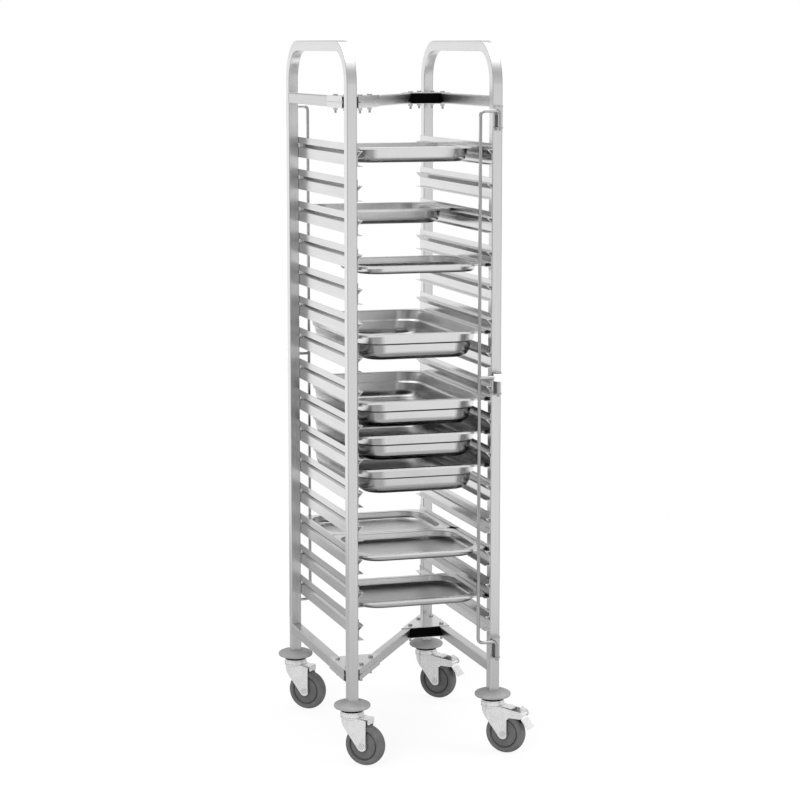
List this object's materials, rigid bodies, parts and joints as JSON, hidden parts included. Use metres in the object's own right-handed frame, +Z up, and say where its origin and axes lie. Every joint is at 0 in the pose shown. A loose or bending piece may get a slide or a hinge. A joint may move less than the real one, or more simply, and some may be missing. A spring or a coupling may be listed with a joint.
{
  "type": "tray trolley",
  "caption": "Tall steel trolley with hoop ends and folded side runners for food trays, swinging retaining rods, sliding trays and swivel casters, some with foot brakes.",
  "frame": {"origin": "on the floor, midway between the four swivel axes", "axes": "+Z up; +X to the right, across the tray width; -Y towards the side that trays are loaded from in the picture; the swivel casters are stored trailing to the front right"},
  "size_m": [0.4845, 0.6545, 1.71],
  "materials": {
    "frame_steel": "satin brushed along the tubes",
    "runner_steel": "bright folded sheet",
    "tray_steel": "bright pressed sheet",
    "fixings": "bright zinc plate",
    "caster_zinc": "pale zinc plate",
    "black_plastic": "matt black moulding",
    "grey_plastic": "matt grey moulding",
    "grey_rubber": "non-marking grey rubber",
    "black_rubber": "matt black rubber",
    "white_plastic": "off-white moulding"
  },
  "bodies": {
    "frame": {"left_hoop": "frame_steel", "right_hoop": "frame_steel", "left_top_rail": "frame_steel", "right_top_rail": "frame_steel", "left_bottom_rail": "frame_steel", "right_bottom_rail": "frame_steel", "top_diagonal": "frame_steel", "bottom_diagonal": "frame_steel", "front_left_top_bracket": "caster_zinc", "front_left_bottom_bracket": "caster_zinc", "rear_right_top_bracket": "caster_zinc", "rear_right_bottom_bracket": "caster_zinc", "bracket_inserts": "black_plastic", "bracket_bolts": "fixings", "bracket_nuts": "fixings", "left_runners": "runner_steel", "right_runners": "runner_steel", "front_gate_eyes": "frame_steel", "rear_gate_eyes": "frame_steel", "gate_wear_pads": "black_plastic", "corner_bumpers": "grey_rubber", "swivel_seals": "black_rubber", "swivel_races": "caster_zinc", "post_plugs": "black_plastic"},
    "front_left_swivel": {"front_left_fork": "caster_zinc", "front_left_axle": "caster_zinc"},
    "front_left_wheel": {"front_left_tyre": "grey_rubber", "front_left_hub": "grey_plastic"},
    "front_right_swivel": {"front_right_fork": "caster_zinc", "front_right_axle": "caster_zinc", "front_right_brake_pin": "caster_zinc"},
    "front_right_wheel": {"front_right_tyre": "grey_rubber", "front_right_hub": "grey_plastic"},
    "front_right_brake": {"front_right_brake_pedal": "caster_zinc", "front_right_brake_shoe": "black_rubber"},
    "rear_left_swivel": {"rear_left_fork": "caster_zinc", "rear_left_axle": "caster_zinc"},
    "rear_left_wheel": {"rear_left_tyre": "grey_rubber", "rear_left_hub": "grey_plastic"},
    "rear_right_swivel": {"rear_right_fork": "caster_zinc", "rear_right_axle": "caster_zinc", "rear_right_brake_pin": "caster_zinc"},
    "rear_right_wheel": {"rear_right_tyre": "grey_rubber", "rear_right_hub": "grey_plastic"},
    "rear_right_brake": {"rear_right_brake_pedal": "caster_zinc", "rear_right_brake_shoe": "black_rubber"},
    "front_gate": {"front_gate_rod": "frame_steel", "front_gate_grip": "white_plastic"},
    "rear_gate": {"rear_gate_rod": "frame_steel", "rear_gate_grip": "white_plastic"},
    "tray_level_01_front": {"tray_level_01_front": "tray_steel"},
    "tray_level_03_rear": {"tray_level_03_rear": "tray_steel"},
    "tray_level_04_front": {"tray_level_04_front": "tray_steel"},
    "tray_level_06": {"tray_level_06": "tray_steel"},
    "tray_level_08": {"tray_level_08": "tray_steel"},
    "tray_level_09": {"tray_level_09": "tray_steel"},
    "tray_level_10": {"tray_level_10": "tray_steel"},
    "tray_level_13_rear": {"tray_level_13_rear": "tray_steel"},
    "tray_level_13_front": {"tray_level_13_front": "tray_steel"},
    "tray_level_14_front": {"tray_level_14_front": "tray_steel"}
  },
  "joints": [
    {"name": "front_left_swivel_turn", "type": "hinge", "parent": "frame", "child": "front_left_swivel", "pos_m": [-0.1775, -0.2625, 0.115], "axis": [0, 0, 1], "continuous": true},
    {"name": "front_left_wheel_roll", "type": "hinge", "parent": "front_left_swivel", "child": "front_left_wheel", "pos_m": [-0.15204, -0.28796, 0.05], "axis": [0.7071, 0.7071, 0], "continuous": true},
    {"name": "front_right_swivel_turn", "type": "hinge", "parent": "frame", "child": "front_right_swivel", "pos_m": [0.1775, -0.2625, 0.115], "axis": [0, 0, 1], "continuous": true},
    {"name": "front_right_wheel_roll", "type": "hinge", "parent": "front_right_swivel", "child": "front_right_wheel", "pos_m": [0.20296, -0.28796, 0.05], "axis": [0.7071, 0.7071, 0], "continuous": true},
    {"name": "front_right_brake_press", "type": "hinge", "parent": "front_right_swivel", "child": "front_right_brake", "pos_m": [0.23407, -0.31907, 0.1], "axis": [0.7071, 0.7071, 0], "range_deg": [0, 13]},
    {"name": "rear_left_swivel_turn", "type": "hinge", "parent": "frame", "child": "rear_left_swivel", "pos_m": [-0.1775, 0.2625, 0.115], "axis": [0, 0, 1], "continuous": true},
    {"name": "rear_left_wheel_roll", "type": "hinge", "parent": "rear_left_swivel", "child": "rear_left_wheel", "pos_m": [-0.15204, 0.23704, 0.05], "axis": [0.7071, 0.7071, 0], "continuous": true},
    {"name": "rear_right_swivel_turn", "type": "hinge", "parent": "frame", "child": "rear_right_swivel", "pos_m": [0.1775, 0.2625, 0.115], "axis": [0, 0, 1], "continuous": true},
    {"name": "rear_right_wheel_roll", "type": "hinge", "parent": "rear_right_swivel", "child": "rear_right_wheel", "pos_m": [0.20296, 0.23704, 0.05], "axis": [0.7071, 0.7071, 0], "continuous": true},
    {"name": "rear_right_brake_press", "type": "hinge", "parent": "rear_right_swivel", "child": "rear_right_brake", "pos_m": [0.23407, 0.20593, 0.1], "axis": [0.7071, 0.7071, 0], "range_deg": [0, 13]},
    {"name": "front_gate_swing", "type": "hinge", "parent": "frame", "child": "front_gate", "pos_m": [0.1775, -0.29, 0.8745], "axis": [0, 0, 1], "range_deg": [0, 180]},
    {"name": "rear_gate_swing", "type": "hinge", "parent": "frame", "child": "rear_gate", "pos_m": [-0.1775, 0.29, 0.8745], "axis": [0, 0, 1], "range_deg": [0, 180]},
    {"name": "tray_level_01_front_slide", "type": "slide", "parent": "frame", "child": "tray_level_01_front", "axis": [0, 1, 0], "range_m": [-0.078, 0.222]},
    {"name": "tray_level_03_rear_slide", "type": "slide", "parent": "frame", "child": "tray_level_03_rear", "axis": [0, 1, 0], "range_m": [-0.28, 0.02]},
    {"name": "tray_level_04_front_slide", "type": "slide", "parent": "frame", "child": "tray_level_04_front", "axis": [0, 1, 0], "range_m": [-0.02, 0.28]},
    {"name": "tray_level_06_slide", "type": "slide", "parent": "frame", "child": "tray_level_06", "axis": [0, 1, 0], "range_m": [-0.02, 0.02]},
    {"name": "tray_level_08_slide", "type": "slide", "parent": "frame", "child": "tray_level_08", "axis": [0, 1, 0], "range_m": [-0.02, 0.02]},
    {"name": "tray_level_09_slide", "type": "slide", "parent": "frame", "child": "tray_level_09", "axis": [0, 1, 0], "range_m": [-0.02, 0.02]},
    {"name": "tray_level_10_slide", "type": "slide", "parent": "frame", "child": "tray_level_10", "axis": [0, 1, 0], "range_m": [-0.02, 0.02]},
    {"name": "tray_level_13_rear_slide", "type": "slide", "parent": "frame", "child": "tray_level_13_rear", "axis": [0, 1, 0], "range_m": [0, 0.02]},
    {"name": "tray_level_13_front_slide", "type": "slide", "parent": "frame", "child": "tray_level_13_front", "axis": [0, 1, 0], "range_m": [-0.02, 0]},
    {"name": "tray_level_14_front_slide", "type": "slide", "parent": "frame", "child": "tray_level_14_front", "axis": [0, 1, 0], "range_m": [-0.02, 0.28]}
  ]
}
